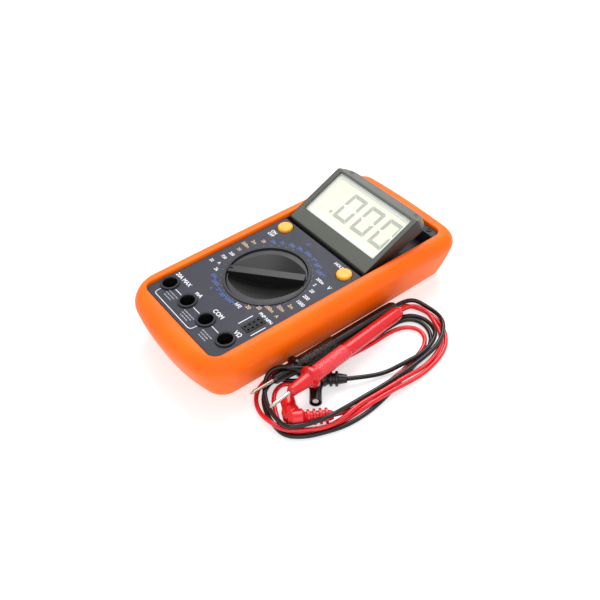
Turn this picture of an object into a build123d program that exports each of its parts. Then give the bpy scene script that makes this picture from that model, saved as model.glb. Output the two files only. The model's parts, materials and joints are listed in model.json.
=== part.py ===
from build123d import *
import math
import os

# Hand-held digital multimeter with a flip-up display, in a protective rubber boot, with its pair of test leads.
# Millimetres. +X across the keypad (reading direction), +Y from the input jacks to the display, +Z up.
# Origin: middle of the boot's footprint, on the surface the meter lies on.

# ---------------------------------------------------------------- driving dimensions
PANEL_Z = 30.0          # printed face of the front panel
RIM_Z = 32.0            # top of the boot's rim
OPEN_HX = 36.6          # half width of the boot's opening
OPEN_Y0, OPEN_Y1 = -77.5, 80.5
BOOT_HX = 45.5          # half width of the boot at its widest level
BOOT_HY = 90.5
CASE_HX = 41.0
CASE_Y0, CASE_Y1 = -83.0, 86.0
CASE_TAPER = 8.5        # degrees
PART_Z = 15.0           # parting line of front and rear case
CASE_BOTTOM_Z = 2.8
CASE_TOP_Z = 28.0       # shoulder that the boot's lip covers

JACK_PITCH = 19.0
JACK_X = [-29.6, -10.6, 8.4, 27.4]
JACK_Y = -64.4
JACK_HOLE_R = 4.3
JACK_COLLAR_R = 5.5
CONTACT_BORE_R = 2.02   # takes a 4 mm plug
CONTACT_R = 3.0

KNOB_X, KNOB_Y = 0.0, -18.8
KNOB_R = 22.9
KNOB_WELL_R = 23.5
KNOB_RING_R = 24.9
KNOB_ANGLE = 38.8       # degrees, direction of the ridge above +X

BUTTON_X, BUTTON_Y = 27.9, 14.5
BUTTON_R = 4.6
BUTTON_TRAVEL = 2.0

HINGE_Y, HINGE_Z = 26.5, 26.4
HEAD_TILT = 24.0        # degrees, raised position of the display head
HEAD_HX = 35.3
WELL_HX = 35.8
HEAD_FACE_W = 5.3       # face plane above the hinge axis
PIN_R = 1.2

WINDOW_HX = 31.9
WINDOW_U0, WINDOW_U1 = 8.4, 39.9

PCB_Z0, PCB_Z1 = 16.6, 18.2

STAND_HX, STAND_L = 23.0, 60.0      # tilt stand half width, hinge to free edge
STAND_Y, STAND_Z = 18.0, 3.1        # its hinge axis
WELL_FRONT_R = 5.7      # round the head's hinge
WELL_Y1 = 74.9

PROBE_R = 4.0
CORD_D = 2.5

os.makedirs("parts", exist_ok=True)


def save(name, shape):
    if isinstance(shape, (list, tuple, ShapeList)):
        shape = Compound(children=list(shape))
    export_step(shape, f"parts/{name}.step")


def bx(x0, x1, y0, y1, z0, z1):
    return Pos((x0 + x1) / 2, (y0 + y1) / 2, (z0 + z1) / 2) * Box(x1 - x0, y1 - y0, z1 - z0)


def cyl(x, y, z0, z1, r):
    return Pos(x, y, (z0 + z1) / 2) * Cylinder(r, z1 - z0)


def tube(x, y, z0, z1, r_out, r_in):
    return cyl(x, y, z0, z1, r_out) - cyl(x, y, z0 - 1, z1 + 1, r_in)


def rrect(x0, x1, y0, y1, r):
    return Pos((x0 + x1) / 2, (y0 + y1) / 2) * RectangleRounded(x1 - x0, y1 - y0, r)


def slab(sk, z0, z1, taper=0.0):
    return Pos(0, 0, z0) * extrude(sk, amount=z1 - z0, taper=taper)


def xcyl(x0, x1, y, z, r):
    return Pos((x0 + x1) / 2, y, z) * Rot(0, 90, 0) * Cylinder(r, x1 - x0)


# ---------------------------------------------------------------- boot
# Plan outline at the widest level: four shallow arcs with rounded corners; every other level is offset from it.
def boot_outline(off):
    x = 44.9 - off
    yf = 83.4 - off
    yr = 88.9 - off
    pts = [(-x, -yf), (x, -yf), (x - 0.5, yr), (-x + 0.5, yr)]
    front = ThreePointArc(pts[0], (0, -BOOT_HY + off), pts[1])
    right = ThreePointArc(pts[1], (BOOT_HX - off, 0), pts[2])
    rear = ThreePointArc(pts[2], (0, BOOT_HY - off), pts[3])
    left = ThreePointArc(pts[3], (-BOOT_HX + off, 0), pts[0])
    f = make_face([front, right, rear, left])
    vs = f.vertices().sort_by(Axis.Y)
    f = fillet(vs[:2], radius=max(24 - 1.9 * off, 9.5))
    vs = [v for v in f.vertices() if v.Y > 80 - off and abs(abs(v.X) - (x - 0.5)) < 0.05]
    return fillet(vs, radius=12 - 0.5 * off)


BOOT_LEVELS = [(0.0, 10.0), (1.2, 7.8), (3.0, 6.2), (5.5, 5.2), (14.0, 2.4), (23.5, 0.0), (27.5, 0.7), (30.3, 2.6), (31.7, 5.0), (RIM_Z, 6.3)]


def boot():
    outer = None
    for (z0, o0), (z1, o1) in zip(BOOT_LEVELS[:-1], BOOT_LEVELS[1:]):
        seg = loft([Pos(0, 0, z0) * boot_outline(o0), Pos(0, 0, z1) * boot_outline(o1)], ruled=True)
        outer = seg if outer is None else outer + seg
    body = outer
    # cavity that holds the case
    cav = Pos(0, 0, CASE_TOP_Z + 0.3) * extrude(rrect(-CASE_HX - 0.2, CASE_HX + 0.2, CASE_Y0 - 0.2, CASE_Y1 + 0.2, 15.0), amount=-(CASE_TOP_Z + 0.3 - 2.6), taper=CASE_TAPER)
    body = body - cav
    # opening over the panel, and the window in the boot's back
    body = body - slab(rrect(-OPEN_HX, OPEN_HX, OPEN_Y0, OPEN_Y1, 5.0), CASE_TOP_Z - 1, RIM_Z + 1)
    body = body - slab(rrect(-28.0, 28.0, -69.0, 73.0, 6.0), -1, 4)
    return body


# ---------------------------------------------------------------- front case
TAN = math.tan(math.radians(CASE_TAPER))
CASE_SCREWS = [(-30.5, -74.0), (30.5, -74.0), (-28.5, 77.0), (28.5, 77.0)]
BOARD_POSTS = [(-33.0, -48.0), (-33.0, 0.0), (33.0, 0.0), (0.0, -72.5)]


def case_block(z0, z1):
    # tapered outline, measured from the shoulder level down
    d1 = (CASE_TOP_Z - z1) * TAN
    sk = rrect(-CASE_HX + d1, CASE_HX - d1, CASE_Y0 + d1, CASE_Y1 - d1, 15.0 - 0.5 * d1)
    return Pos(0, 0, z1) * extrude(sk, amount=-(z1 - z0), taper=CASE_TAPER)


def place_head(shape, tilt=HEAD_TILT):
    return Pos(0, HINGE_Y, HINGE_Z) * Rot(tilt, 0, 0) * shape


def prism_x(pts, x0, x1):
    # polygon given as (u, w) pairs, extruded from x0 to x1
    f = make_face(Polyline(*[(0, u, w) for u, w in pts], close=True))
    s = extrude(f, amount=x1 - x0, dir=(1, 0, 0))
    return Pos(x0, 0, 0) * s


def front_case():
    body = case_block(PART_Z, CASE_TOP_Z)
    body = body + slab(rrect(-OPEN_HX + 0.3, OPEN_HX - 0.3, OPEN_Y0 + 0.3, OPEN_Y1 - 0.3, 4.8), CASE_TOP_Z - 0.5, PANEL_Z - 0.3)
    d = (CASE_TOP_Z - PART_Z) * TAN
    body = body - slab(rrect(-CASE_HX + d + 2.0, CASE_HX - d - 2.0, CASE_Y0 + d + 2.0, CASE_Y1 - d - 2.0, 11.0), PART_Z - 1, PANEL_Z - 2.5)
    # walls and floor of the well that the display head folds into, stepped over the battery
    d2 = (CASE_TOP_Z - 18.0) * TAN
    hxw = CASE_HX - d2 - 1.0
    body = body + bx(-hxw, hxw, HINGE_Y - WELL_FRONT_R - 1.2, WELL_Y1 + 1.4, 21.0, CASE_TOP_Z)
    body = body + bx(-hxw, hxw, 56.0, WELL_Y1 + 1.4, 18.6, CASE_TOP_Z)
    # ring round the selector, the hole it turns in and the wall round its skirt
    body = body + cyl(KNOB_X, KNOB_Y, PANEL_Z - 1.0, PANEL_Z + 0.5, KNOB_RING_R)
    body = body + cyl(KNOB_X, KNOB_Y, 19.4, PANEL_Z - 1.0, KNOB_WELL_R + 1.4)
    body = body - cyl(KNOB_X, KNOB_Y, 10, PANEL_Z + 3, KNOB_WELL_R)
    for x in JACK_X:
        body = body - cyl(x, JACK_Y, 10, PANEL_Z + 3, JACK_COLLAR_R + 0.02)
    for s in (-1, 1):
        body = body - cyl(s * BUTTON_X, BUTTON_Y, 20.0, PANEL_Z + 2, BUTTON_R + 0.35)
    body = body - bx(24.7, 31.1, -53.1, -40.9, 24, PANEL_Z + 2)
    # screw posts
    for x, y in CASE_SCREWS:
        body = body + cyl(x, y, PART_Z + 0.02, PANEL_Z - 2.3, 3.2)
        body = body - cyl(x, y, PART_Z - 1, 26.0, 1.25)
    # clear space for the head, from flat to fully raised
    well = bx(-WELL_HX, WELL_HX, HINGE_Y, 57.4, 22.4, PANEL_Z + 3)
    well = well + bx(-WELL_HX, WELL_HX, 57.4, WELL_Y1, 20.0, PANEL_Z + 3)
    well = well + bx(-WELL_HX, WELL_HX, HINGE_Y - WELL_FRONT_R, HINGE_Y + 1, HINGE_Z, PANEL_Z + 3)
    well = well + (xcyl(-WELL_HX, WELL_HX, HINGE_Y, HINGE_Z, WELL_FRONT_R) & bx(-60, 60, HINGE_Y - 6, HINGE_Y + 6, 22.4, 40))
    body = body - well
    # seats of the hinge pins
    body = body - xcyl(-39.2, 39.2, HINGE_Y, HINGE_Z, PIN_R + 0.05)
    # small round bosses on the ledge behind the head
    for s in (-1, 1):
        body = body + tube(s * 29.0, 77.9, PANEL_Z - 0.5, PANEL_Z + 0.3, 1.6, 0.9)
    # slot that the ribbon comes up through
    body = body - bx(-12.6, 12.6, 30.4, 33.2, 17, 23)
    return body


def panel_label():
    sk = rrect(-OPEN_HX + 0.7, OPEN_HX - 0.7, OPEN_Y0 + 0.7, HINGE_Y - WELL_FRONT_R - 0.3, 4.4)
    lab = slab(sk, PANEL_Z - 0.3, PANEL_Z)
    lab = lab - cyl(KNOB_X, KNOB_Y, 20, 40, KNOB_RING_R + 0.1)
    for x in JACK_X:
        lab = lab - cyl(x, JACK_Y, 20, 40, JACK_COLLAR_R + 0.1)
    for s in (-1, 1):
        lab = lab - cyl(s * BUTTON_X, BUTTON_Y, 20, 40, BUTTON_R + 0.35)
    lab = lab - bx(24.7, 31.1, -53.1, -40.9, 20, 40)
    return lab


# ---------------------------------------------------------------- rear case
BATT_X0, BATT_X1, BATT_Y0, BATT_Y1, BATT_Z0, BATT_Z1 = -22.0, 24.4, 27.6, 54.1, 2.6, 20.1


def rear_case():
    body = case_block(CASE_BOTTOM_Z, PART_Z)
    d1 = (CASE_TOP_Z - CASE_BOTTOM_Z) * TAN
    body = body - slab(rrect(-CASE_HX + d1 + 2.0, CASE_HX - d1 - 2.0, CASE_Y0 + d1 + 2.0, CASE_Y1 - d1 - 2.0, 8.0), 5.2, PART_Z + 1)
    # raised back that fills the boot's window
    body = body + slab(rrect(-27.6, 27.6, -68.6, 72.6, 5.6), 0.9, CASE_BOTTOM_Z + 0.5)
    # recess for the tilt stand, with a floor above it
    body = body + bx(-STAND_HX - 2.4, STAND_HX + 2.4, STAND_Y - STAND_L - 2, STAND_Y + 4.6, 4.9, 7.0)
    body = body - bx(-STAND_HX - 0.4, STAND_HX + 0.4, STAND_Y - STAND_L - 0.4, STAND_Y + 2.8, 0, 5.3)
    body = body - bx(-8, 8, STAND_Y - STAND_L - 3.4, STAND_Y - STAND_L, 0, 3.2)
    body = body - xcyl(-STAND_HX - 2.6, STAND_HX + 2.6, STAND_Y, STAND_Z, 1.05)
    # battery bay: cover opening, ledge for the cover, and thin walls round the battery
    body = body + (bx(-29.2, 26.6, 26.0, 55.6, 5.0, 14.8) - bx(-28.0, 25.4, 27.2, 54.5, 4, 20))
    body = body - bx(-28.4, -23.4, 25.0, 28.6, 11.5, 16)
    body = body - bx(-26.6, 26.6, 24.6, 57.4, 0, 2.3)
    body = body - bx(-23.2, 25.3, 27.3, 54.4, 0, 6)
    # posts: case screws from below, board screws from above
    for x, y in CASE_SCREWS:
        body = body + cyl(x, y, 5.0, PART_Z, 4.2)
        body = body - cyl(x, y, 0, 6.6, 3.0)
        body = body - cyl(x, y, 0, 20, 1.5)
    for x, y in BOARD_POSTS:
        body = body + cyl(x, y, 5.0, PCB_Z0 - 0.02, 2.6)
        body = body - cyl(x, y, 7.0, 20, 0.95)
    # trim anything of the posts that would stand outside the tapered shell
    body = body & (bx(-60, 60, -100, 100, 0, PART_Z) + bx(-35.8, 35.8, -79.0, 79.0, PART_Z, 30))
    # ring that holds the buzzer
    body = body + tube(0.0, 67.0, 5.0, 10.6, 11.4, 10.2)
    body = body + tube(0.0, 67.0, 5.0, 8.6, 10.3, 9.0)
    return body


def battery_cover():
    c = bx(-26.4, 26.4, 24.8, 57.2, 0.9, 2.25)
    for i in range(5):
        c = c - bx(-8, 8, 50.0 - i * 1.5 - 0.35, 50.0 - i * 1.5 + 0.35, 0.5, 1.3)
    return c


def battery():
    b = bx(BATT_X0, BATT_X1, BATT_Y0, BATT_Y1, BATT_Z0, BATT_Z1)
    return fillet(b.edges().filter_by(Axis.X), radius=1.6)


BATT_CY, BATT_CZ = (BATT_Y0 + BATT_Y1) / 2, (BATT_Z0 + BATT_Z1) / 2


def battery_terminals():
    out = [xcyl(BATT_X0 - 2.1, BATT_X0 - 0.02, BATT_CY - 6.35, BATT_CZ, 2.8)]
    hexa = Pos(BATT_X0 - 0.02, BATT_CY + 6.35, BATT_CZ) * Rot(0, -90, 0) * extrude(RegularPolygon(4.0, 6), amount=2.1)
    out.append(hexa - xcyl(BATT_X0 - 3, BATT_X0 - 0.4, BATT_CY + 6.35, BATT_CZ, 2.9))
    return out


def battery_snap():
    s = bx(-27.4, -24.14, BATT_CY - 12.6, BATT_CY + 12.6, BATT_CZ - 5.8, BATT_CZ + 5.8)
    return fillet(s.edges().filter_by(Axis.X), radius=3.0)


def battery_leads():
    # two insulated wires from the snap, over the bay's wall and forward to the board
    out = []
    for x0, z0, x1, y1 in ((-25.0, 17.0, -26.4, 16.0), (-26.6, 17.0, -28.6, 13.0)):
        pts = [(x0, BATT_CY - 12.7, z0 - 2.6), (x0 - 0.4, 25.0, 15.6), (x1, 19.0, 13.6), (x1 - 0.3, y1 + 1.4, 12.4), (x1 - 0.5, y1 - 2.4, 14.0), (x1 - 0.5, y1 - 2.6, PCB_Z0 - 0.1)]
        out.append(cord_tube("battery lead", pts, 1.2))
    return out


# ---------------------------------------------------------------- board and what is on it
def main_board():
    b = slab(rrect(-35.4, 35.4, -76.4, 24.0, 9.0), PCB_Z0, PCB_Z1)
    for x in JACK_X:
        b = b - cyl(x, JACK_Y, 0, 40, CONTACT_R + 0.02)
    for x, y in BOARD_POSTS:
        b = b - cyl(x, y, 0, 40, 1.2)
    for x, y in CASE_SCREWS[:2]:
        b = b - cyl(x, y, 0, 40, 3.6)
    b = b - cyl(KNOB_X, KNOB_Y, 0, 40, 3.1)
    return b


def jack_contacts():
    out = []
    for x in JACK_X:
        s = tube(x, JACK_Y, 9.0, 24.0, CONTACT_R, CONTACT_BORE_R)
        s = s + tube(x, JACK_Y, PCB_Z0 - 1.0, PCB_Z0 - 0.02, CONTACT_R + 0.9, CONTACT_R - 0.5)
        out.append(s)
    return out


def jack_insulators():
    # collar and tube of each input, standing on the board
    out = []
    for x in JACK_X:
        s = cyl(x, JACK_Y, PCB_Z1 + 0.02, PANEL_Z + 0.9, JACK_COLLAR_R)
        s = s - cyl(x, JACK_Y, 21.0, 40, JACK_HOLE_R) - cyl(x, JACK_Y, 10, 40, CONTACT_R + 0.02)
        out.append(s)
    return out


def transistor_socket():
    s = bx(24.9, 30.9, -52.9, -41.1, 22.0, PANEL_Z + 0.2)
    s = s + bx(23.9, 31.9, -53.9, -40.1, 22.0, 25.0)
    for i in range(4):
        for dx in (-1.5, 1.5):
            s = s - cyl(27.9 + dx, -51.2 + i * 2.8, 23.0, 40, 0.62)
    return s


def socket_pins():
    out = []
    for i in range(4):
        for dx in (-1.5, 1.5):
            out.append(cyl(27.9 + dx, -51.2 + i * 2.8, PCB_Z1 + 0.02, 21.98, 0.4))
    return out


def ycyl(x, y0, y1, z, r):
    return Pos(x, (y0 + y1) / 2, z) * Rot(90, 0, 0) * Cylinder(r, y1 - y0)


def fuse_clips():
    out = []
    for y in (-38.0, -20.0):
        c = bx(26.4, 33.6, y - 2.0, y + 2.0, 9.6, PCB_Z0 - 0.02) - ycyl(30.0, y - 4, y + 4, 12.2, 2.62) - bx(27.6, 32.4, y - 4, y + 4, 0, 12.2)
        out.append(c)
    return out


def fuse_glass():
    return ycyl(30.0, -35.0, -23.0, 12.2, 2.4) - ycyl(30.0, -36.0, -22.0, 12.2, 1.8)


def fuse_caps():
    return [ycyl(30.0, -40.0, -35.02, 12.2, 2.6), ycyl(30.0, -22.98, -18.0, 12.2, 2.6)]


def current_shunt():
    # heavy resistance-wire bridge of the high-current input
    path = FilletPolyline((-25, -50, PCB_Z0 - 0.02), (-25, -50, 9.5), (-25, -28, 9.5), (-25, -28, PCB_Z0 - 0.02), radius=3)
    return sweep(Plane(path @ 0, z_dir=path % 0) * Circle(0.8), path=path)


def buzzer():
    return cyl(0.0, 67.0, 8.62, 8.92, 10.1) + cyl(0.0, 67.0, 8.9, 9.2, 7.0)


def chip_cover():
    return loft([Pos(-14, 2, PCB_Z0 - 1.6) * Circle(4.6), Pos(-14, 2, PCB_Z0 - 0.9) * Circle(6.6), Pos(-14, 2, PCB_Z0 - 0.02) * Circle(7.4)], ruled=True)


def trim_pots():
    out = []
    for x in (4.0, 12.0, 20.0):
        out.append(bx(x - 2.6, x + 2.6, 10.0, 15.2, PCB_Z0 - 3.4, PCB_Z0 - 0.02) - cyl(x, 12.6, PCB_Z0 - 4, PCB_Z0 - 2.8, 1.6))
    return out


def capacitors():
    return [cyl(x, y, PCB_Z0 - 0.02 - h, PCB_Z0 - 0.02, r) for x, y, r, h in ((-20.0, -64.0, 3.0, 7.0), (-1.0, -60.0, 2.5, 6.0), (18.0, -66.5, 2.5, 6.0), (-30.0, -14.0, 2.5, 6.0))]


def switch_body(s):
    x, y = s * BUTTON_X, BUTTON_Y
    b = bx(x - 3.6, x + 3.6, y - 3.6, y + 3.6, PCB_Z1 + 0.02, 23.2)
    return b - cyl(x, y, 19.4, 30, 1.75)


def screw(x, y, z_head, head_r, head_h, shank_r, length, up=1):
    # pan-head screw with a cross slot; z_head is the outer face of its head, up is the direction it is driven in
    s = cyl(x, y, *sorted((z_head, z_head + up * head_h)), head_r)
    s = s + cyl(x, y, *sorted((z_head + up * head_h, z_head + up * length)), shank_r)
    for a, b in ((0.68, 0.17), (0.17, 0.68)):
        s = s - bx(x - head_r * a, x + head_r * a, y - head_r * b, y + head_r * b, *sorted((z_head - up, z_head + up * head_h * 0.55)))
    return s


def display_ribbon():
    # flat cable from the board's edge, under the head's hinge and up through the well's floor
    pts = [(14.0, PCB_Z1 + 0.02), (20.0, PCB_Z1 + 0.02), (24.6, 20.35), (31.8, 20.35), (32.1, 23.4), (31.85, 23.4), (31.5, 20.6), (24.5, 20.6), (19.9, PCB_Z1 + 0.27), (14.0, PCB_Z1 + 0.27)]
    return prism_x(pts, -12.0, 12.0)


# ---------------------------------------------------------------- display head, in its own frame: u back from the hinge, w up from the hinge axis
HEAD_END = 47.4
HEAD_OUT = [(-1.7, -1.4), (-1.2, 4.7), (-0.6, HEAD_FACE_W), (41.2, HEAD_FACE_W), (HEAD_END, -1.8), (HEAD_END, -5.1), (41.4, -4.9), (24.0, -3.3), (5.4, -2.0), (0.8, -2.2), (-0.9, -2.1)]
COVER_OUT = [(5.4, -2.0), (24.0, -3.3), (41.4, -4.9), (HEAD_END, -5.1), (HEAD_END, -3.7), (41.4, -3.5), (24.0, -1.9), (5.4, -0.6)]


def head_plan(hx, u0, u1, r, w0=-10, w1=10):
    sk = Pos(0, (u0 + u1) / 2) * Rectangle(2 * hx, u1 - u0)
    sk = fillet(sk.vertices().sort_by(Axis.Y)[-2:], radius=r)
    return slab(sk, w0, w1)


HEAD_SCREWS = [(-28.6, 43.7), (28.6, 43.7)]


def display_bezel():
    b = prism_x(HEAD_OUT, -HEAD_HX, HEAD_HX) & head_plan(HEAD_HX, -5.0, HEAD_END, 8.0)
    b = b - prism_x(COVER_OUT, -40, 40)
    # hollow for the display
    cav = prism_x([(5.4, 4.1), (41.4, 4.1), (45.9, -0.9), (45.9, -6.9), (5.4, -4.9)], -HEAD_HX + 1.9, HEAD_HX - 1.9)
    cav = cav & head_plan(HEAD_HX - 1.9, -5.0, 45.9, 6.4)
    b = b - cav
    b = b - slab(rrect(-WINDOW_HX, WINDOW_HX, WINDOW_U0, WINDOW_U1, 0.9), 2.0, 7.0)
    for x, u in HEAD_SCREWS:
        b = b + (cyl(x, u, -3.4, 1.4, 1.9) - cyl(x, u, -6, 0.8, 0.8))
    b = b - xcyl(-HEAD_HX - 1, -HEAD_HX + 4.0, 0, 0, PIN_R) - xcyl(HEAD_HX - 4.0, HEAD_HX + 1, 0, 0, PIN_R)
    return b


def display_back_cover():
    c = prism_x(COVER_OUT, -HEAD_HX, HEAD_HX) & head_plan(HEAD_HX, -5.0, HEAD_END, 8.0)
    for x, u in HEAD_SCREWS:
        c = c - cyl(x, u, -10, 5, 1.0)
        c = c - cyl(x, u, -10, -4.1, 2.0)
    # slot for the ribbon
    c = c - bx(-12.8, 12.8, 6.8, 9.8, -10, 5)
    return c


def display_lens():
    return slab(rrect(-33.1, 33.1, 7.4, 41.0, 1.2), 3.3, 4.08)


def lcd_frame():
    return slab(rrect(-33.0, 33.0, 7.5, 40.9, 1.0), 1.7, 3.28) - bx(-29.6, 29.6, 12.0, 37.6, 0, 5)


def lcd_glass():
    return bx(-29.5, 29.5, 12.1, 37.5, 1.75, 2.95)


def lcd_board():
    return bx(-32.6, 32.6, 8.8, 41.0, 0.15, 0.95)


def zebra_strips():
    return [bx(-28.0, 28.0, 12.8, 14.4, 0.97, 1.73), bx(-28.0, 28.0, 35.2, 36.8, 0.97, 1.73)]


def display_screws():
    return [screw(x, u, -4.85, 1.85, 0.74, 0.78, 5.0) for x, u in HEAD_SCREWS]


def hinge_pins():
    return [xcyl(HEAD_HX - 4.0, 38.9, 0, 0, PIN_R), xcyl(-38.9, -HEAD_HX + 4.0, 0, 0, PIN_R)]


# ---------------------------------------------------------------- selector knob
KNOB_TOP_Z = PANEL_Z - 0.6      # rim of the knob
RIDGE_Z = PANEL_Z + 2.0


def at_knob(shape, ang=KNOB_ANGLE):
    return Pos(KNOB_X, KNOB_Y, 0) * Rot(0, 0, ang) * shape


def selector_knob():
    k = Pos(0, 0, (20.8 + KNOB_TOP_Z) / 2) * Cylinder(KNOB_R, KNOB_TOP_Z - 20.8)
    ridge = bx(-KNOB_R + 0.6, KNOB_R - 0.6, -2.6, 2.6, 22, RIDGE_Z) & (Pos(0, 0, 26) * Cylinder(KNOB_R - 0.6, 20))
    k = k + ridge
    # a shallow trough either side of the ridge, deepest beside it
    for s in (-1, 1):
        big = Rot(s * 16.0, 0, 0) * (Rot(90, 0, 0) * Cylinder(68.0, 90))
        big = Pos(0, 0, 23.9 + 68.0 / math.cos(math.radians(16.0))) * big
        half = bx(-40, 40, *sorted((s * 2.6, s * 40)), 15, 60) & (Pos(0, 0, 26) * Cylinder(KNOB_R - 0.9, 40))
        k = k - (big & half)
    k = k - (Pos(0, 0, 21.4) * Cylinder(20.8, 1.4))
    k = k + (Pos(0, 0, 17.4) * Cylinder(3.0, 9.4))
    k = k - (Pos(0, 0, 13.9) * (Cylinder(4, 0.8) - Cylinder(2.3, 0.8)))
    # pointer notch at the ridge's reading end
    k = k - (Pos(-KNOB_R + 2.0, 0, RIDGE_Z) * Rot(0, 0, 45) * Box(2.0, 2.0, 1.0))
    return at_knob(k)


def knob_clip():
    return at_knob(tube(0, 0, 13.55, 14.25, 5.0, 2.32) - bx(0, 8, -1.4, 1.4, 10, 20))


def contact_carrier():
    c = tube(0, 0, 19.0, 20.55, 20.6, 3.02)
    for a in (90, 270):
        c = c - Rot(0, 0, a) * bx(16.0, 22.0, -1.2, 1.2, 18, 22)
    return at_knob(c)


def wiper_contacts():
    out = []
    for a in (20, 140, 230):
        w = bx(6.5, 17.5, -1.5, 1.5, 18.75, 18.98)
        for r0 in (7.0, 11.0, 15.0):
            w = w + bx(r0, r0 + 1.6, -1.5, 1.5, PCB_Z1 + 0.03, 18.8)
        out.append(at_knob(Rot(0, 0, a) * w))
    return out


def detent_balls():
    return [at_knob(Rot(0, 0, a) * Pos(22.3, 0, 19.6) * Sphere(1.1)) for a in (90, 270)]


def detent_springs():
    out = []
    for a in (90, 270):
        for i in range(6):
            out.append(at_knob(Rot(0, 0, a) * Pos(16.6 + i * 0.88, 0, 19.75) * Rot(0, 90, 0) * Torus(0.55, 0.18)))
    return out


# ---------------------------------------------------------------- push buttons
def push_button(s):
    x, y = s * BUTTON_X, BUTTON_Y
    b = cyl(x, y, 25.2, PANEL_Z + 1.6, BUTTON_R)
    b = fillet(b.edges().sort_by(Axis.Z)[-1], radius=1.2)
    b = b + bx(x - BUTTON_R - 1.6, x + BUTTON_R + 1.6, y - 2.0, y + 2.0, 25.2, 26.6)
    b = b + cyl(x, y, 22.2, 25.3, 1.65)
    return b


# ---------------------------------------------------------------- tilt stand
def tilt_stand():
    y1, y0 = STAND_Y + 1.6, STAND_Y - STAND_L
    s = bx(-STAND_HX, STAND_HX, y0, y1, 1.4, 4.4)
    s = s + xcyl(-STAND_HX, STAND_HX, STAND_Y, STAND_Z, 1.7)
    s = s - bx(-STAND_HX + 9, STAND_HX - 9, y0 + 12, y1 - 9, 0, 6)
    s = s - bx(-STAND_HX - 1, STAND_HX + 1, STAND_Y + 1.7, STAND_Y + 5, 0, 6)
    s = s - xcyl(-STAND_HX - 1, STAND_HX + 1, STAND_Y, STAND_Z, 1.02)
    return s


def stand_pin():
    return xcyl(-STAND_HX - 2.4, STAND_HX + 2.4, STAND_Y, STAND_Z, 1.0)


# ---------------------------------------------------------------- test leads
def radii(pts):
    out = []
    for a, b, c in zip(pts[:-2], pts[1:-1], pts[2:]):
        u, v = Vector(*b) - Vector(*a), Vector(*c) - Vector(*b)
        turn = math.radians(u.get_angle(v))
        out.append(0.45 * min(u.length, v.length) / math.tan(turn / 2))
    return out


def cord_tube(name, pts, d):
    r = radii(pts)
    path = FilletPolyline(*pts, radius=r)
    s = sweep(Plane(path @ 0, z_dir=path % 0) * Circle(d / 2), path=path)
    print(name, "radii", [round(x, 1) for x in r], "length", round(path.length, 1), "volume", round(s.volume, 1), "section x length", round(math.pi * d * d / 4 * path.length, 1))
    return s


def along(p, q):
    # frame at p with its z axis towards q
    p, q = Vector(*p), Vector(*q)
    return Plane(p, z_dir=(q - p).normalized())


def turned(profile, plane):
    # solid of revolution from (s, r) pairs along the plane's z axis
    pts = [(0, 0, profile[0][0])] + [(r, 0, s) for s, r in profile] + [(0, 0, profile[-1][0])]
    f = make_face(Polyline(*pts, close=True))
    return plane.location * revolve(f, axis=Axis.Z, revolution_arc=360)


BLACK_A, BLACK_B = (45.4, 38.0, 4.3), (49.2, -66.2, 7.9)
RED_A, RED_B = (52.9, 34.6, 8.0), (69.4, -66.9, 17.0)
PROBE_PROFILE = [(0, 1.9), (1.0, 3.0), (3.0, 3.8), (8.0, PROBE_R), (46.0, PROBE_R), (47.0, 4.4), (70.0, 4.3), (72.0, 4.6), (73.2, 6.2), (74.8, 6.2), (76.0, 4.0), (88.0, 2.9), (89.0, 2.3)]


def probe_handle(a, b):
    return turned(PROBE_PROFILE, along(a, b))


def probe_pin(a, b):
    length = (Vector(*b) - Vector(*a)).length
    return turned([(89.0, 1.0), (length - 2.6, 1.0), (length, 0.25)], along(a, b))


BLACK_ELBOW, BLACK_MOUTH, BLACK_BOOT = (60.1, -31.7, 4.45), (72.9, -41.6, 4.45), (70.7, -18.8, 4.45)
RED_ELBOW, RED_MOUTH, RED_BOOT = (74.6, -57.6, 5.2), (62.2, -52.0, 5.2), (85.2, -39.6, 4.6)


def plug_body(elbow, mouth, boot, fat=1.0):
    e, m = Vector(*elbow), Vector(*mouth)
    lm = (m - e).length
    barrel = turned([(-1.0, 3.0 * fat), (1.0, 4.0 * fat), (5.0, 4.0 * fat), (8.0, 3.3 * fat), (lm, 3.3 * fat)], along(elbow, mouth))
    barrel = barrel - turned([(lm - 8.0, 2.7), (lm + 1, 2.7)], along(elbow, mouth))
    lb = (Vector(*boot) - e).length
    prof = [(-2.5, 3.0 * fat), (0, 4.2 * fat), (5.0, 4.2 * fat), (6.5, 3.2)]
    s = 6.5
    while s + 3.2 < lb - 1.0:
        prof += [(s + 0.6, 3.0), (s + 1.0, 4.2), (s + 2.2, 4.2), (s + 2.6, 3.0)]
        s += 3.1
    prof += [(lb, 2.2)]
    return barrel + turned(prof, along(elbow, boot))


def plug_pin(elbow, mouth):
    lm = (Vector(*mouth) - Vector(*elbow)).length
    return turned([(lm - 8.0, 1.98), (lm - 1.6, 1.98), (lm - 0.8, 1.6)], along(elbow, mouth))


def past(a, b, d):
    # point d behind a on the line b to a
    a, b = Vector(*a), Vector(*b)
    p = a + (a - b).normalized() * d
    return (p.X, p.Y, p.Z)


def black_lead_cord():
    tail = [past(BLACK_A, BLACK_B, 0.02), (44.9, 44.6, 3.6), (48.7, 50.6, 2.8), (55.0, 52.9, 2.0)]
    plug = [past(BLACK_BOOT, BLACK_ELBOW, 0.02), (75.8, -9.0, 2.9), (79.4, 2.5, 1.5), (81.0, 14.5, 1.8), (80.0, 25.6, 4.1)]
    return [cord_tube("black cord at the probe", tail, CORD_D), cord_tube("black cord at the plug", plug, CORD_D)]


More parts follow.
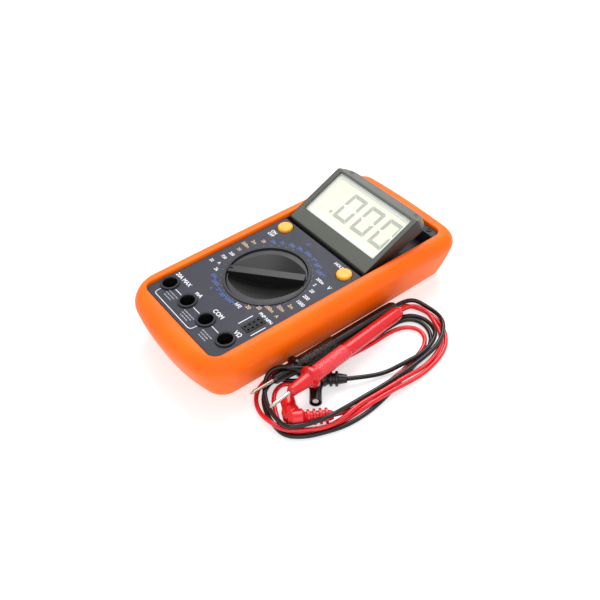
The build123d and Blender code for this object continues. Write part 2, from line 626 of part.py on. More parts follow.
def red_lead_cord():
    tail = [past(RED_A, RED_B, 0.02), (51.9, 41.2, 6.8), (54.6, 47.4, 5.2), (61.4, 49.8, 3.4)]
    plug = [past(RED_BOOT, RED_ELBOW, 0.02), (89.4, -28.4, 4.6), (89.8, -17.9, 4.0), (90.9, -7.6, 3.2)]
    return [cord_tube("red cord at the probe", tail, CORD_D), cord_tube("red cord at the plug", plug, CORD_D)]


COIL_OUTER = [(43.0, 41.5), (48.2, 51.8), (55.4, 54.6), (64.0, 55.0), (74.0, 52.8), (84.4, 45.8), (91.4, 35.4), (94.4, 24.0), (95.0, 14.0), (94.4, 6.0), (93.9, 0.0), (94.0, -6.0), (94.2, -12.0), (94.8, -20.0), (95.0, -28.0), (94.4, -38.0), (92.2, -48.6), (88.0, -58.6), (81.6, -66.4), (74.5, -68.4), (61.4, -69.0), (50.4, -67.0), (43.6, -61.2), (41.2, -55.6), (41.6, -51.0), (44.6, -46.0), (49.6, -36.0), (50.4, -20.0), (49.8, -4.0), (49.2, 10.0), (48.6, 22.0), (46.4, 34.0)]
COIL_INNER = [(59.6, 18.0), (60.6, 26.0), (65.4, 32.6), (71.4, 31.6), (76.4, 24.0), (78.6, 12.0), (77.0, 2.0), (80.4, -8.0), (84.0, -22.0), (84.6, -34.0), (83.4, -44.6), (80.0, -54.0), (74.0, -59.6), (66.0, -59.2), (58.6, -56.0), (53.4, -50.6), (54.6, -44.8), (58.0, -38.0), (60.6, -26.0), (60.6, -15.0), (59.2, -4.0), (58.8, 8.0)]


def lead_coil():
    ring = make_face(Polyline(*COIL_OUTER, close=True)) - make_face(Polyline(*COIL_INNER, close=True))
    return slab(ring, 0.0, 6.0)


# ---------------------------------------------------------------- write the parts
save("boot", boot())
save("front_case", front_case())
save("panel_label", panel_label())
save("rear_case", rear_case())
save("battery_cover", battery_cover())
save("battery", battery())
save("battery_terminals", battery_terminals())
save("battery_snap", battery_snap())
save("battery_leads", battery_leads())
save("main_board", main_board())
save("jack_contacts", jack_contacts())
save("jack_insulators", jack_insulators())
save("transistor_socket", transistor_socket())
save("socket_pins", socket_pins())
save("fuse_clips", fuse_clips())
save("fuse_glass", fuse_glass())
save("fuse_caps", fuse_caps())
save("current_shunt", current_shunt())
save("buzzer", buzzer())
save("chip_cover", chip_cover())
save("trim_pots", trim_pots())
save("capacitors", capacitors())
save("power_switch", switch_body(-1))
save("hold_switch", switch_body(1))
save("case_screws", [screw(x, y, 3.4, 2.8, 2.0, 1.2, 20.0) for x, y in CASE_SCREWS])
save("board_screws", [screw(x, y, PCB_Z1 + 1.3, 2.2, 1.28, 0.93, 9.0, up=-1) for x, y in BOARD_POSTS])
save("display_ribbon", display_ribbon())
save("display_bezel", place_head(display_bezel()))
save("display_back_cover", place_head(display_back_cover()))
save("display_lens", place_head(display_lens()))
save("lcd_frame", place_head(lcd_frame()))
save("lcd_glass", place_head(lcd_glass()))
save("lcd_board", place_head(lcd_board()))
save("zebra_strips", [place_head(s) for s in zebra_strips()])
save("display_screws", [place_head(s) for s in display_screws()])
save("hinge_pins", [place_head(s) for s in hinge_pins()])
save("selector_knob", selector_knob())
save("knob_clip", knob_clip())
save("contact_carrier", contact_carrier())
save("wiper_contacts", wiper_contacts())
save("detent_balls", detent_balls())
save("detent_springs", detent_springs())
save("power_button", push_button(-1))
save("hold_button", push_button(1))
save("tilt_stand", tilt_stand())
save("stand_pin", stand_pin())
save("black_probe_handle", probe_handle(BLACK_A, BLACK_B))
save("black_probe_pin", probe_pin(BLACK_A, BLACK_B))
save("black_plug", plug_body(BLACK_ELBOW, BLACK_MOUTH, BLACK_BOOT))
save("black_plug_pin", plug_pin(BLACK_ELBOW, BLACK_MOUTH))
save("black_lead_cord", black_lead_cord())
save("red_probe_handle", probe_handle(RED_A, RED_B))
save("red_probe_pin", probe_pin(RED_A, RED_B))
save("red_plug", plug_body(RED_ELBOW, RED_MOUTH, RED_BOOT, 1.2))
save("red_plug_pin", plug_pin(RED_ELBOW, RED_MOUTH))
save("red_lead_cord", red_lead_cord())
save("lead_coil", lead_coil())
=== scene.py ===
import bpy
import json
import math
import numpy as np
from mathutils import Matrix, Vector


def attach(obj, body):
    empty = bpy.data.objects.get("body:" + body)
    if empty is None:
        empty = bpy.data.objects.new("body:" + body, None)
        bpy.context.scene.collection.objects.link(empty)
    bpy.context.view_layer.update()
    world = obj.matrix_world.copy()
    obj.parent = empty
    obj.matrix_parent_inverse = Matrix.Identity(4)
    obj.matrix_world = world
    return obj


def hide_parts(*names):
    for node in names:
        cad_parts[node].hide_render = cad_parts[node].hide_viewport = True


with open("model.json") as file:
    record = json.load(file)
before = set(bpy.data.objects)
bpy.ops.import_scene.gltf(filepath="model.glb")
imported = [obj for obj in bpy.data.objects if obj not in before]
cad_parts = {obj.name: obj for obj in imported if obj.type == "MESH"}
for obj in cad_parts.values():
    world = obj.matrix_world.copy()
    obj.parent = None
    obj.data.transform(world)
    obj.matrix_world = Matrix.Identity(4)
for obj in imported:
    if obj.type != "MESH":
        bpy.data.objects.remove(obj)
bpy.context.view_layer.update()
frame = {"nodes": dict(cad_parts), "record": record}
NODES = frame["nodes"]
MM = 0.001
scene = bpy.context.scene


# ------------------------------------------------------------------ camera
def unit(v):
    return Vector(v).normalized()


AZ, EL, ROLL, DIST = math.radians(56.071), math.radians(43.133), math.radians(-4.221), 0.434115
TARGET = Vector((0.028362, -0.016648, 0.030))
BACK = Vector((math.sin(AZ) * math.cos(EL), -math.cos(AZ) * math.cos(EL), math.sin(EL)))
RIGHT = Vector((math.cos(AZ), math.sin(AZ), 0.0))
UP = BACK.cross(RIGHT)
XC = math.cos(ROLL) * RIGHT + math.sin(ROLL) * UP
YC = -math.sin(ROLL) * RIGHT + math.cos(ROLL) * UP
cam_data = bpy.data.cameras.new("camera")
cam_data.sensor_width = 36.0
cam_data.lens = 48.07
cam_data.clip_start = 0.01
cam_data.clip_end = 20.0
cam = bpy.data.objects.new("camera", cam_data)
rot = Matrix((XC, YC, BACK)).transposed()
cam.matrix_world = Matrix.Translation(TARGET + BACK * DIST) @ rot.to_4x4()
scene.collection.objects.link(cam)
scene.camera = cam


# ------------------------------------------------------------------ materials
def lin(r, g, b):
    def f(c):
        c = c / 255.0
        return c / 12.92 if c <= 0.04045 else ((c + 0.055) / 1.055) ** 2.4
    return (f(r), f(g), f(b), 1.0)


def scaled(c, k):
    return (min(c[0] * k, 1.0), min(c[1] * k, 1.0), min(c[2] * k, 1.0), 1.0)


def pmat(name, c, rough=0.5, rvar=0.06, metal=0.0, var=0.08, nscale=35.0, fine=900.0, speck=0.06,
         bump=0.12, bscale=1400.0, coat=0.0, coat_rough=0.08, spec=0.5, trans=0.0, ior=1.47, alpha=1.0,
         sss=0.0, bevel=0.0, tint=None, stretch=(1, 1, 1), scratches=0.0):
    m = bpy.data.materials.new(name)
    m.use_nodes = True
    nt = m.node_tree
    nd, lk = nt.nodes, nt.links
    p = nd["Principled BSDF"]
    tc = nd.new("ShaderNodeTexCoord")
    mp = nd.new("ShaderNodeMapping")
    mp.inputs["Scale"].default_value = stretch
    lk.new(tc.outputs["Object"], mp.inputs["Vector"])
    broad = nd.new("ShaderNodeTexNoise")
    broad.inputs["Scale"].default_value = nscale
    broad.inputs["Detail"].default_value = 5.0
    lk.new(mp.outputs["Vector"], broad.inputs["Vector"])
    ramp = nd.new("ShaderNodeValToRGB")
    ramp.color_ramp.elements[0].position = 0.3
    ramp.color_ramp.elements[1].position = 0.7
    ramp.color_ramp.elements[0].color = scaled(c, 1.0 - var)
    ramp.color_ramp.elements[1].color = scaled(tint if tint else c, 1.0 + var)
    lk.new(broad.outputs["Fac"], ramp.inputs["Fac"])
    dust = nd.new("ShaderNodeTexNoise")
    dust.inputs["Scale"].default_value = fine
    dust.inputs["Detail"].default_value = 3.0
    lk.new(mp.outputs["Vector"], dust.inputs["Vector"])
    dr = nd.new("ShaderNodeMapRange")
    dr.inputs["From Min"].default_value = 0.3
    dr.inputs["From Max"].default_value = 0.7
    dr.inputs["To Min"].default_value = 1.0 - speck
    dr.inputs["To Max"].default_value = 1.0 + speck
    lk.new(dust.outputs["Fac"], dr.inputs["Value"])
    mul = nd.new("ShaderNodeVectorMath")
    mul.operation = "SCALE"
    lk.new(ramp.outputs["Color"], mul.inputs[0])
    lk.new(dr.outputs["Result"], mul.inputs["Scale"])
    lk.new(mul.outputs["Vector"], p.inputs["Base Color"])
    rr = nd.new("ShaderNodeMapRange")
    rr.inputs["From Min"].default_value = 0.3
    rr.inputs["From Max"].default_value = 0.7
    rr.inputs["To Min"].default_value = max(rough - rvar, 0.02)
    rr.inputs["To Max"].default_value = min(rough + rvar, 1.0)
    wear = nd.new("ShaderNodeTexNoise")
    wear.inputs["Scale"].default_value = nscale * 4.0
    wear.inputs["Detail"].default_value = 7.0
    wear.inputs["Roughness"].default_value = 0.7
    lk.new(mp.outputs["Vector"], wear.inputs["Vector"])
    lk.new(wear.outputs["Fac"], rr.inputs["Value"])
    lk.new(rr.outputs["Result"], p.inputs["Roughness"])
    grain = nd.new("ShaderNodeTexNoise")
    grain.inputs["Scale"].default_value = bscale
    grain.inputs["Detail"].default_value = 2.0
    lk.new(mp.outputs["Vector"], grain.inputs["Vector"])
    bp = nd.new("ShaderNodeBump")
    bp.inputs["Strength"].default_value = bump
    bp.inputs["Distance"].default_value = 0.0002
    lk.new(grain.outputs["Fac"], bp.inputs["Height"])
    if bevel > 0:
        bv = nd.new("ShaderNodeBevel")
        bv.samples = 6
        bv.inputs["Radius"].default_value = bevel * MM
        lk.new(bv.outputs["Normal"], bp.inputs["Normal"])
    lk.new(bp.outputs["Normal"], p.inputs["Normal"])
    p.inputs["Metallic"].default_value = metal
    p.inputs["Specular IOR Level"].default_value = spec
    p.inputs["IOR"].default_value = ior
    p.inputs["Coat Weight"].default_value = coat
    p.inputs["Coat Roughness"].default_value = coat_rough
    p.inputs["Transmission Weight"].default_value = trans
    p.inputs["Alpha"].default_value = alpha
    if sss > 0:
        p.inputs["Subsurface Weight"].default_value = sss
        p.inputs["Subsurface Radius"].default_value = (0.6, 0.2, 0.1)
        p.inputs["Subsurface Scale"].default_value = 0.002
    m["bump_node"] = bp.name
    return m


ORANGE = pmat("orange_rubber", lin(250, 100, 0), rough=0.42, rvar=0.05, var=0.04, speck=0.02, bump=0.08, bscale=2200, spec=0.22, coat=0.05, coat_rough=0.32, tint=lin(255, 110, 0))
CASE = pmat("case_plastic", lin(46, 46, 54), rough=0.55, var=0.08, speck=0.10, bump=0.25, bscale=2600, bevel=0.25, spec=0.35)
PANEL = pmat("printed_film", lin(50, 51, 62), rough=0.5, var=0.06, speck=0.18, fine=1600, bump=0.16, bscale=3200, spec=0.28)
BEZEL = pmat("bezel_plastic", lin(84, 86, 80), rough=0.38, var=0.05, speck=0.06, bump=0.14, bscale=3000, bevel=0.45, coat=0.05, spec=0.4)
BEZEL_BACK = pmat("bezel_back_plastic", lin(58, 56, 56), rough=0.4, var=0.06, speck=0.06, bump=0.14, bscale=3000, bevel=0.4)
KNOB = pmat("knob_plastic", lin(24, 25, 24), rough=0.32, rvar=0.04, var=0.06, speck=0.03, bump=0.03, bscale=2200, bevel=0.3, coat=0.0, spec=0.32)
BLACK_PLASTIC = pmat("black_plastic", lin(13, 13, 14), rough=0.45, var=0.1, speck=0.1, bump=0.12, bevel=0.2, spec=0.25)
YELLOW = pmat("button_yellow", lin(250, 168, 24), rough=0.42, var=0.04, speck=0.03, bump=0.08, sss=0.15, bevel=0.5, coat=0.1)
RED_SOFT = pmat("lead_red", lin(214, 10, 24), rough=0.27, var=0.07, speck=0.03, bump=0.06, nscale=70, coat=0.25, coat_rough=0.12, bevel=0.25)
BLACK_SOFT = pmat("lead_black", lin(12, 12, 13), rough=0.30, var=0.12, speck=0.05, bump=0.06, nscale=70, coat=0.12, coat_rough=0.12, bevel=0.25, spec=0.4)
NICKEL = pmat("nickel", lin(205, 196, 188), rough=0.24, metal=1.0, var=0.05, speck=0.04, bump=0.05, stretch=(1, 1, 1))
STEEL = pmat("steel", lin(170, 170, 172), rough=0.32, metal=1.0, var=0.08, speck=0.05, bump=0.05)
BRASS = pmat("brass", lin(214, 178, 98), rough=0.28, metal=1.0, var=0.08, speck=0.05, bump=0.05)
BOARD = pmat("board_green", lin(24, 92, 52), rough=0.4, var=0.1, speck=0.1, bump=0.1)
GLASS = pmat("clear_glass", lin(235, 242, 240), rough=0.06, rvar=0.03, var=0.02, speck=0.0, bump=0.01, trans=1.0)
EPOXY = pmat("epoxy_black", lin(16, 16, 17), rough=0.18, var=0.1, speck=0.05, bump=0.1)
TRIM = pmat("trimmer_blue", lin(40, 90, 180), rough=0.45, var=0.08, bevel=0.2)
SLEEVE = pmat("capacitor_sleeve", lin(40, 44, 70), rough=0.25, var=0.08)
WIRE = pmat("resistance_wire", lin(160, 140, 122), rough=0.35, metal=1.0, var=0.1)
FILM = pmat("ribbon_film", lin(190, 120, 46), rough=0.3, var=0.06, stretch=(1, 0.1, 1))
JACKET = pmat("battery_jacket", lin(52, 54, 60), rough=0.35, var=0.08, metal=0.2)
LCDWHITE = pmat("lcd_white", lin(232, 236, 230), rough=0.5, var=0.02, speck=0.02)
ZEBRA = pmat("zebra_rubber", lin(196, 130, 140), rough=0.7, var=0.08)
WIRE_RED = pmat("wire_red", lin(196, 20, 24), rough=0.3, var=0.06)


def lcd_glass_material():
    m = pmat("lcd_panel", lin(232, 236, 202), rough=0.30, rvar=0.03, var=0.02, speck=0.015, bump=0.01, tint=lin(240, 243, 216), coat=0.3, coat_rough=0.06)
    return m


LCD = lcd_glass_material()


def lens_material():
    # thin clear window: mostly see-through, with a faint gloss
    m = bpy.data.materials.new("clear_lens")
    m.use_nodes = True
    nt = m.node_tree
    p = nt.nodes["Principled BSDF"]
    tc = nt.nodes.new("ShaderNodeTexCoord")
    n = nt.nodes.new("ShaderNodeTexNoise")
    n.inputs["Scale"].default_value = 260.0
    nt.links.new(tc.outputs["Object"], n.inputs["Vector"])
    r = nt.nodes.new("ShaderNodeMapRange")
    r.inputs["To Min"].default_value = 0.04
    r.inputs["To Max"].default_value = 0.10
    nt.links.new(n.outputs["Fac"], r.inputs["Value"])
    nt.links.new(r.outputs["Result"], p.inputs["Roughness"])
    p.inputs["Base Color"].default_value = (0.93, 0.96, 0.93, 1)
    p.inputs["Alpha"].default_value = 0.12
    p.inputs["Specular IOR Level"].default_value = 0.5
    return m


LENS = lens_material()

MATERIALS = {
    "orange_rubber": ORANGE, "case_plastic": CASE, "printed_film": PANEL, "battery_jacket": JACKET, "nickel": NICKEL,
    "black_plastic": BLACK_PLASTIC, "wire_red": WIRE_RED, "board_green": BOARD, "brass": BRASS, "clear_glass": GLASS,
    "resistance_wire": WIRE, "epoxy_black": EPOXY, "trimmer_blue": TRIM, "capacitor_sleeve": SLEEVE, "steel": STEEL,
    "ribbon_film": FILM, "bezel_plastic": BEZEL, "clear_lens": LENS, "lcd_white": LCDWHITE, "lcd_panel": LCD,
    "zebra_rubber": ZEBRA, "knob_plastic": KNOB, "button_yellow": YELLOW, "lead_black": BLACK_SOFT, "lead_red": RED_SOFT,
}


def paint(node, material):
    o = NODES[node]
    o.data.materials.clear()
    o.data.materials.append(material)


for part in frame["record"]["subparts"]:
    paint(part["node"], MATERIALS[part["material_slot"]])
paint("display_back_cover", BEZEL_BACK)


def paint_side_shade(m, edge, side_shade_colour):
    # painted shade: the outer side walls, beyond edge mm from the middle, take a darker colour that stands in for the
    # shade on them
    nt = m.node_tree
    nd, lk = nt.nodes, nt.links
    p = nd["Principled BSDF"]
    tc = nd.new("ShaderNodeTexCoord")
    sep = nd.new("ShaderNodeSeparateXYZ")
    lk.new(tc.outputs["Object"], sep.inputs["Vector"])
    ab = nd.new("ShaderNodeMath")
    ab.operation = "ABSOLUTE"
    lk.new(sep.outputs["X"], ab.inputs[0])
    mr = nd.new("ShaderNodeMapRange")
    mr.inputs["From Min"].default_value = (edge - 0.25) * MM
    mr.inputs["From Max"].default_value = (edge + 0.05) * MM
    lk.new(ab.outputs["Value"], mr.inputs["Value"])
    mix = nd.new("ShaderNodeMix")
    mix.data_type = "RGBA"
    src = p.inputs["Base Color"].links[0].from_socket
    lk.new(mr.outputs["Result"], mix.inputs["Factor"])
    lk.new(src, mix.inputs["A"])
    mix.inputs["B"].default_value = side_shade_colour
    lk.new(mix.outputs["Result"], p.inputs["Base Color"])


COLLAR = pmat("socket_plastic", lin(14, 14, 15), rough=0.45, var=0.1, speck=0.1, bump=0.12, spec=0.2)
cnt = COLLAR.node_tree
ctc = cnt.nodes.new("ShaderNodeTexCoord")
csep = cnt.nodes.new("ShaderNodeSeparateXYZ")
cnt.links.new(ctc.outputs["Object"], csep.inputs["Vector"])
cmr = cnt.nodes.new("ShaderNodeMapRange")
cmr.inputs["From Min"].default_value = 29.6 * MM
cmr.inputs["From Max"].default_value = 30.0 * MM
cnt.links.new(csep.outputs["Z"], cmr.inputs["Value"])
cmix = cnt.nodes.new("ShaderNodeMix")
cmix.data_type = "RGBA"
cnt.links.new(cmr.outputs["Result"], cmix.inputs["Factor"])
cnt.links.new(cnt.nodes["Principled BSDF"].inputs["Base Color"].links[0].from_socket, cmix.inputs["A"])
cmix.inputs["B"].default_value = lin(40, 41, 49)
cnt.links.new(cmix.outputs["Result"], cnt.nodes["Principled BSDF"].inputs["Base Color"])
paint("jack_insulators", COLLAR)
# painted shade: dark brown on the side walls of the bezel and of its back cover
paint_side_shade(BEZEL, 35.0, lin(34, 27, 24))
paint_side_shade(BEZEL_BACK, 35.0, lin(34, 27, 24))


def grip_material(name, base, a, b, light, s0, s1):
    # moulded handle with a finely ribbed grip between s0 and s1 mm from its tail
    m = pmat(name, base, rough=0.27, var=0.07, speck=0.03, bump=0.06, nscale=70, coat=0.2, coat_rough=0.12, bevel=0.3)
    nt = m.node_tree
    nd, lk = nt.nodes, nt.links
    p = nd["Principled BSDF"]
    axis = unit(Vector(b) - Vector(a))
    tc = nd.new("ShaderNodeTexCoord")
    off = nd.new("ShaderNodeVectorMath")
    off.operation = "SUBTRACT"
    lk.new(tc.outputs["Object"], off.inputs[0])
    off.inputs[1].default_value = Vector(a) * MM
    dot = nd.new("ShaderNodeVectorMath")
    dot.operation = "DOT_PRODUCT"
    lk.new(off.outputs["Vector"], dot.inputs[0])
    dot.inputs[1].default_value = axis * 1000.0
    lo = nd.new("ShaderNodeMapRange")
    lo.inputs["From Min"].default_value = s0
    lo.inputs["From Max"].default_value = s0 + 0.6
    lk.new(dot.outputs["Value"], lo.inputs["Value"])
    hi = nd.new("ShaderNodeMapRange")
    hi.inputs["From Min"].default_value = s1
    hi.inputs["From Max"].default_value = s1 - 0.6
    lk.new(dot.outputs["Value"], hi.inputs["Value"])
    mask = nd.new("ShaderNodeMath")
    mask.operation = "MULTIPLY"
    lk.new(lo.outputs["Result"], mask.inputs[0])
    lk.new(hi.outputs["Result"], mask.inputs[1])
    vor = nd.new("ShaderNodeTexVoronoi")
    vor.inputs["Scale"].default_value = 900.0
    lk.new(tc.outputs["Object"], vor.inputs["Vector"])
    wave = nd.new("ShaderNodeMath")
    wave.operation = "MULTIPLY"
    lk.new(mask.outputs["Value"], wave.inputs[0])
    lk.new(vor.outputs["Distance"], wave.inputs[1])
    bp2 = nd.new("ShaderNodeBump")
    bp2.inputs["Strength"].default_value = 0.8
    bp2.inputs["Distance"].default_value = 0.0004
    lk.new(wave.outputs["Value"], bp2.inputs["Height"])
    lk.new(nd[m["bump_node"]].outputs["Normal"], bp2.inputs["Normal"])
    lk.new(bp2.outputs["Normal"], p.inputs["Normal"])
    src = p.inputs["Base Color"].links[0].from_socket
    mix = nd.new("ShaderNodeMix")
    mix.data_type = "RGBA"
    fac = nd.new("ShaderNodeMath")
    fac.operation = "MULTIPLY"
    fac.inputs[1].default_value = 0.55
    lk.new(mask.outputs["Value"], fac.inputs[0])
    lk.new(fac.outputs["Value"], mix.inputs["Factor"])
    lk.new(src, mix.inputs["A"])
    mix.inputs["B"].default_value = light
    lk.new(mix.outputs["Result"], p.inputs["Base Color"])
    return m


BLACK_A, BLACK_B = (45.4, 38.0, 4.3), (49.2, -66.2, 7.9)
RED_A, RED_B = (52.9, 34.6, 8.0), (69.4, -66.9, 17.0)
paint("black_probe_handle", grip_material("black_handle", lin(14, 14, 15), BLACK_A, BLACK_B, lin(50, 48, 47), 47.5, 70.0))
paint("red_probe_handle", grip_material("red_handle", lin(214, 10, 24), RED_A, RED_B, lin(232, 70, 78), 47.5, 70.0))


# ------------------------------------------------------------------ cords
BLACK_ROUTE = [
    (45.4, 38.0, 4.3), (44.9, 45.0, 3.6), (48.5, 50.6, 3.8), (55.4, 53.0, 2.2), (64.1, 53.5, 2.5), (72.5, 50.0, 4.3),
    (78.6, 43.4, 4.0), (82.6, 35.8, 4.0), (84.6, 26.6, 4.1), (85.6, 16.0, 4.1), (86.2, 4.0, 4.2), (86.2, -8.0, 4.2),
    (85.7, -20.0, 4.4), (86.4, -31.8, 6.0), (88.1, -43.8, 9.8), (83.1, -55.1, 6.8), (78.1, -64.1, 7.2), (68.7, -63.9, 4.9),
    (60.2, -62.6, 4.0), (53.0, -59.8, 4.2), (46.5, -55.6, 5.3), (44.3, -50.7, 10.0), (47.1, -44.4, 12.4), (52.5, -40.0, 12.6),
    (55.5, -34.2, 10.4), (56.8, -25.9, 6.1), (58.6, -16.0, 2.4), (57.2, -6.0, 4.1), (55.6, 5.0, 4.0), (54.6, 16.0, 1.6),
    (53.9, 26.0, 1.4), (54.1, 34.6, 1.4), (57.8, 40.6, 1.4), (64.4, 42.6, 1.4), (71.8, 40.6, 1.4), (78.0, 35.4, 1.4),
    (81.7, 27.0, 1.4), (84.3, 17.0, 1.4), (87.0, 6.0, 1.4), (90.0, -5.0, 1.3), (92.3, -16.0, 1.3), (93.2, -27.0, 1.3),
    (92.4, -38.1, 1.3), (89.1, -48.2, 1.3), (85.1, -57.9, 1.4), (77.9, -65.7, 1.3), (67.6, -65.8, 1.3), (58.6, -63.7, 1.3),
    (50.8, -59.8, 1.4), (45.4, -53.6, 1.4), (44.5, -46.5, 1.4), (50.9, -41.4, 1.3), (53.9, -36.0, 1.3), (51.8, -23.9, 1.3),
    (52.4, -10.0, 1.4), (51.4, 4.0, 1.4), (51.0, 18.0, 1.3), (50.9, 31.0, 1.3), (53.4, 40.6, 1.4), (59.8, 45.3, 1.4),
    (68.2, 45.2, 1.8), (75.8, 41.1, 3.9), (80.4, 33.0, 4.1), (82.3, 23.0, 4.2), (81.1, 12.0, 3.8), (78.6, 1.5, 1.5),
    (75.0, -9.4, 2.9), (70.7, -18.8, 4.45)]
RED_ROUTE = [
    (52.9, 34.6, 8.0), (51.9, 41.2, 6.8), (54.6, 47.0, 5.4), (61.2, 49.1, 3.8), (69.3, 47.3, 1.8), (76.8, 44.2, 1.4),
    (82.8, 38.1, 1.4), (86.7, 29.4, 1.4), (88.8, 19.0, 1.6), (89.0, 7.0, 4.0), (89.0, -4.0, 4.0), (88.5, -15.0, 4.1),
    (88.6, -26.0, 5.2), (90.1, -37.4, 4.4), (88.4, -47.6, 3.6), (82.7, -57.2, 3.9), (77.0, -64.8, 4.0), (67.2, -67.2, 3.9),
    (58.6, -67.1, 1.6), (50.4, -64.4, 1.4), (44.2, -58.8, 1.4), (41.4, -50.6, 1.4), (40.4, -40.0, 1.4), (40.4, -26.0, 1.4),
    (40.3, -10.0, 1.4), (40.2, 6.0, 1.4), (40.2, 21.0, 1.4), (40.4, 33.6, 1.4), (43.6, 42.2, 1.3), (49.7, 47.5, 1.3),
    (57.0, 50.2, 1.4), (65.5, 50.8, 1.3), (74.4, 48.6, 1.3), (81.7, 43.5, 1.4), (87.0, 36.1, 1.4), (90.0, 27.0, 1.4),
    (91.8, 16.0, 1.4), (92.0, 5.0, 2.8), (91.5, -6.0, 4.0), (91.2, -17.0, 3.9), (90.5, -27.9, 2.9), (89.6, -39.3, 1.3),
    (85.5, -49.5, 1.3), (80.4, -60.5, 1.3), (72.3, -64.1, 1.3), (62.6, -60.1, 1.4), (55.6, -56.6, 1.4), (50.6, -51.6, 1.4),
    (49.7, -45.7, 1.5), (54.9, -40.8, 1.4), (56.1, -34.3, 1.3), (54.7, -23.9, 1.3), (55.9, -12.0, 1.4), (57.0, -0.0, 1.3),
    (57.6, 12.0, 1.4), (57.0, 24.0, 1.4), (59.4, 33.0, 1.4), (65.2, 37.4, 1.4), (71.6, 36.6, 1.4), (76.8, 31.6, 1.4),
    (80.0, 23.6, 1.3), (82.5, 13.0, 1.3), (84.2, 1.5, 1.4), (85.8, -10.0, 1.4), (86.9, -21.0, 1.3), (87.8, -31.0, 3.2),
    (85.2, -39.6, 4.6)]


def cord_curve(name, route, material):
    cu = bpy.data.curves.new(name, "CURVE")
    cu.dimensions = "3D"
    sp = cu.splines.new("NURBS")
    sp.points.add(len(route) - 1)
    for q, (x, y, z) in zip(sp.points, route):
        q.co = (x * MM, y * MM, z * MM, 1.0)
    sp.order_u = 3
    sp.use_endpoint_u = True
    sp.resolution_u = 10
    cu.resolution_u = 10
    cu.bevel_depth = 1.25 * MM
    cu.bevel_resolution = 5
    cu.use_fill_caps = True
    cu.materials.append(material)
    o = bpy.data.objects.new(name, cu)
    scene.collection.objects.link(o)
    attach(o, "test_leads")
    return o


black_cord = cord_curve("black_test_lead", BLACK_ROUTE, BLACK_SOFT)
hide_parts("black_lead_cord", "lead_coil")
red_cord = cord_curve("red_test_lead", RED_ROUTE, RED_SOFT)
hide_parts("red_lead_cord")


# ------------------------------------------------------------------ mesh helpers
def mesh_object(name, verts, faces, body, material, smooth=True, angle=None):
    me = bpy.data.meshes.new(name)
    me.from_pydata([tuple(v) for v in verts], [], [tuple(f) for f in faces])
    me.update()
    o = bpy.data.objects.new(name, me)
    scene.collection.objects.link(o)
    me.materials.append(material)
    if smooth:
        for p in me.polygons:
            p.use_smooth = True
        if angle is not None:
            me.set_sharp_from_angle(angle=math.radians(angle))
    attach(o, body)
    return o


# ------------------------------------------------------------------ boot
def circle3(p, q, r):
    # centre of the circle through three points
    ax, ay, bx_, by, cx, cy = *p, *q, *r
    d = 2 * (ax * (by - cy) + bx_ * (cy - ay) + cx * (ay - by))
    ux = ((ax * ax + ay * ay) * (by - cy) + (bx_ * bx_ + by * by) * (cy - ay) + (cx * cx + cy * cy) * (ay - by)) / d
    uy = ((ax * ax + ay * ay) * (cx - bx_) + (bx_ * bx_ + by * by) * (ax - cx) + (cx * cx + cy * cy) * (bx_ - ax)) / d
    return np.array((ux, uy))


def arc_points(p, mid, q, n):
    c = circle3(p, mid, q)
    r = np.linalg.norm(np.array(p) - c)
    a0 = math.atan2(p[1] - c[1], p[0] - c[0])
    am = math.atan2(mid[1] - c[1], mid[0] - c[0])
    a1 = math.atan2(q[1] - c[1], q[0] - c[0])
    while am - a0 > math.pi: am -= 2 * math.pi
    while am - a0 < -math.pi: am += 2 * math.pi
    while a1 - am > math.pi: a1 -= 2 * math.pi
    while a1 - am < -math.pi: a1 += 2 * math.pi
    return [c + r * np.array((math.cos(a), math.sin(a))) for a in np.linspace(a0, a1, n)]


SIDE_N, CORNER_N = 30, 14


def rounded_loop(corners, mids, radii_):
    # corners in order, mids[i] is the middle of the side from corner i to corner i + 1
    n = len(corners)
    sides = [arc_points(corners[i], mids[i], corners[(i + 1) % n], 400) for i in range(n)]
    out = []
    trims = []
    for i in range(n):
        a, b = np.array(sides[i - 1]), np.array(sides[i])
        r = radii_[i]
        # tangent length from the corner's angle
        t0 = a[-1] - a[-12]; t0 /= np.linalg.norm(t0)
        t1 = b[12] - b[0]; t1 /= np.linalg.norm(t1)
        turn = math.acos(max(-1, min(1, float(t0 @ t1))))
        tl = r * math.tan(turn / 2)
        trims.append(tl)
    for i in range(n):
        s = np.array(sides[i])
        d = np.concatenate([[0], np.cumsum(np.linalg.norm(np.diff(s, axis=0), axis=1))])
        lo, hi = trims[i], d[-1] - trims[(i + 1) % n]
        tt = np.linspace(lo, hi, SIDE_N)
        pts = np.column_stack([np.interp(tt, d, s[:, 0]), np.interp(tt, d, s[:, 1])])
        out.append(pts)
    loop = []
    for i in range(n):
        prev, cur = out[i - 1], out[i]
        p0, p1 = prev[-1], cur[0]
        d0 = prev[-1] - prev[-2]; d0 /= np.linalg.norm(d0)
        d1 = cur[1] - cur[0]; d1 /= np.linalg.norm(d1)
        turn = math.acos(max(-1, min(1, float(d0 @ d1))))
        h = 4.0 / 3.0 * math.tan(turn / 4) * np.linalg.norm(p1 - p0) / (2 * math.sin(turn / 2))
        for t in np.linspace(0, 1, CORNER_N + 2)[1:-1]:
            b0, b1, b2, b3 = (1 - t) ** 3, 3 * t * (1 - t) ** 2, 3 * t * t * (1 - t), t ** 3
            loop.append(b0 * p0 + b1 * (p0 + d0 * h) + b2 * (p1 - d1 * h) + b3 * p1)
        loop.extend(list(cur))
    return np.array(loop)


